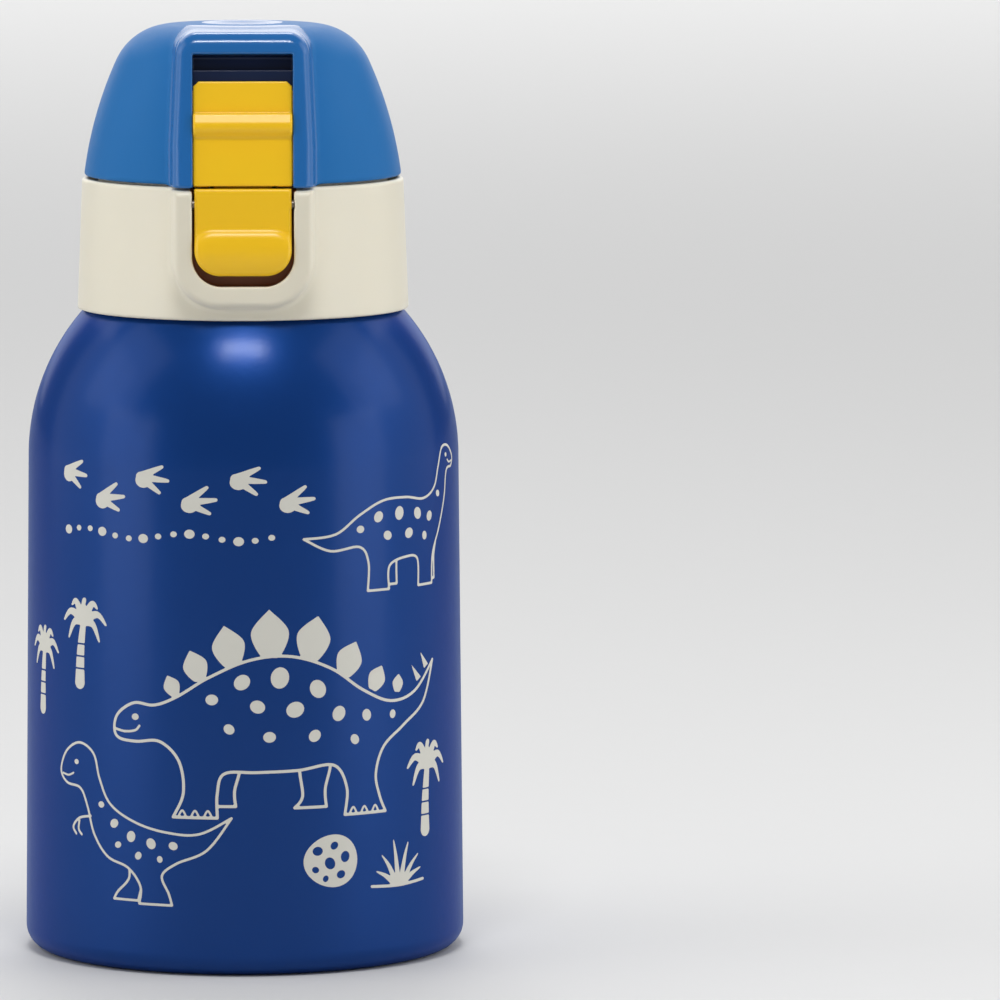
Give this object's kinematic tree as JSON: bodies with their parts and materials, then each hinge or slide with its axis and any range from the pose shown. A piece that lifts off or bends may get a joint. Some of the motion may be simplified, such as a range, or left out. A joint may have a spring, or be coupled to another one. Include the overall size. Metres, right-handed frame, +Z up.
{
  "type": "water bottle",
  "caption": "Child's vacuum-insulated steel water bottle with a screw-on cap, drinking spout, hinged flip lid, push-button latch and sliding lock.",
  "frame": {"origin": "middle of the foot ring, on the surface the bottle stands on", "axes": "+Z up along the bottle; -Y is the front with the release button, +Y the lid's hinge, +X the bottle's left side"},
  "size_m": [0.076, 0.076, 0.1605],
  "materials": {
    "body_paint": "semi-gloss royal blue powder paint with fine orange peel, warm white print on the front",
    "bare_steel": "bare stainless steel, turned finish",
    "foil": "bright foil",
    "getter": "dull sintered pill",
    "silicone": "translucent matte silicone",
    "cream_plastic": "satin cream polypropylene",
    "core_plastic": "satin off-white polypropylene",
    "spout_plastic": "smooth natural polypropylene",
    "spring_steel": "drawn stainless wire and pin",
    "yellow_plastic": "semi-gloss yellow polypropylene",
    "lid_plastic": "satin blue dome with glossy frame and hinge",
    "liner_plastic": "satin light blue polypropylene"
  },
  "bodies": {
    "bottle": {"outer_shell": "body_paint", "inner_liner": "bare_steel", "liner_floor": "bare_steel", "base_plate": "bare_steel", "liner_foil": "foil", "getter_pill": "getter"},
    "mouth_gasket": {"bottle_gasket": "silicone"},
    "cap": {"collar": "cream_plastic", "cap_core": "core_plastic", "mouthpiece": "spout_plastic", "mouthpiece_gasket": "silicone", "vent_valve": "silicone", "button_pin": "spring_steel", "button_spring": "spring_steel", "hinge_pin": "spring_steel", "lid_spring_left": "spring_steel", "lid_spring_right": "spring_steel"},
    "button": {"release_button": "yellow_plastic"},
    "lid": {"lid_shell": "lid_plastic", "lid_liner": "liner_plastic", "lid_seal": "silicone", "lock_detent": "spring_steel"},
    "lock": {"lock_slider": "yellow_plastic"}
  },
  "joints": [
    {"name": "cap_lift", "type": "slide", "parent": "bottle", "child": "mouth_gasket", "axis": [0, 0, 1], "range_m": [0, 0.0061]},
    {"name": "cap_turn", "type": "hinge", "parent": "mouth_gasket", "child": "cap", "pos_m": [0, 0, 0.1259], "axis": [0, 0, 1], "range_deg": [0, 540]},
    {"name": "lid_hinge", "type": "hinge", "parent": "cap", "child": "lid", "pos_m": [0, 0.0292, 0.1394], "axis": [-1, 0, 0], "range_deg": [0, 150], "deforming": ["lid_spring_left", "lid_spring_right"]},
    {"name": "button_press", "type": "hinge", "parent": "cap", "child": "button", "pos_m": [0, -0.0283, 0.1311], "axis": [1, 0, 0], "range_deg": [0, 8], "stiffness_Nm_per_rad": 0.15, "springref_deg": -3.44, "deforming": ["button_spring"]},
    {"name": "lock_slide", "type": "slide", "parent": "lid", "child": "lock", "axis": [0, 0.2284, 0.9736], "range_m": [0, 0.0043]}
  ],
  "couplings": [
    {"joint": "cap_lift", "follows": "cap_turn", "m_per_rad": 0.00063662}
  ]
}
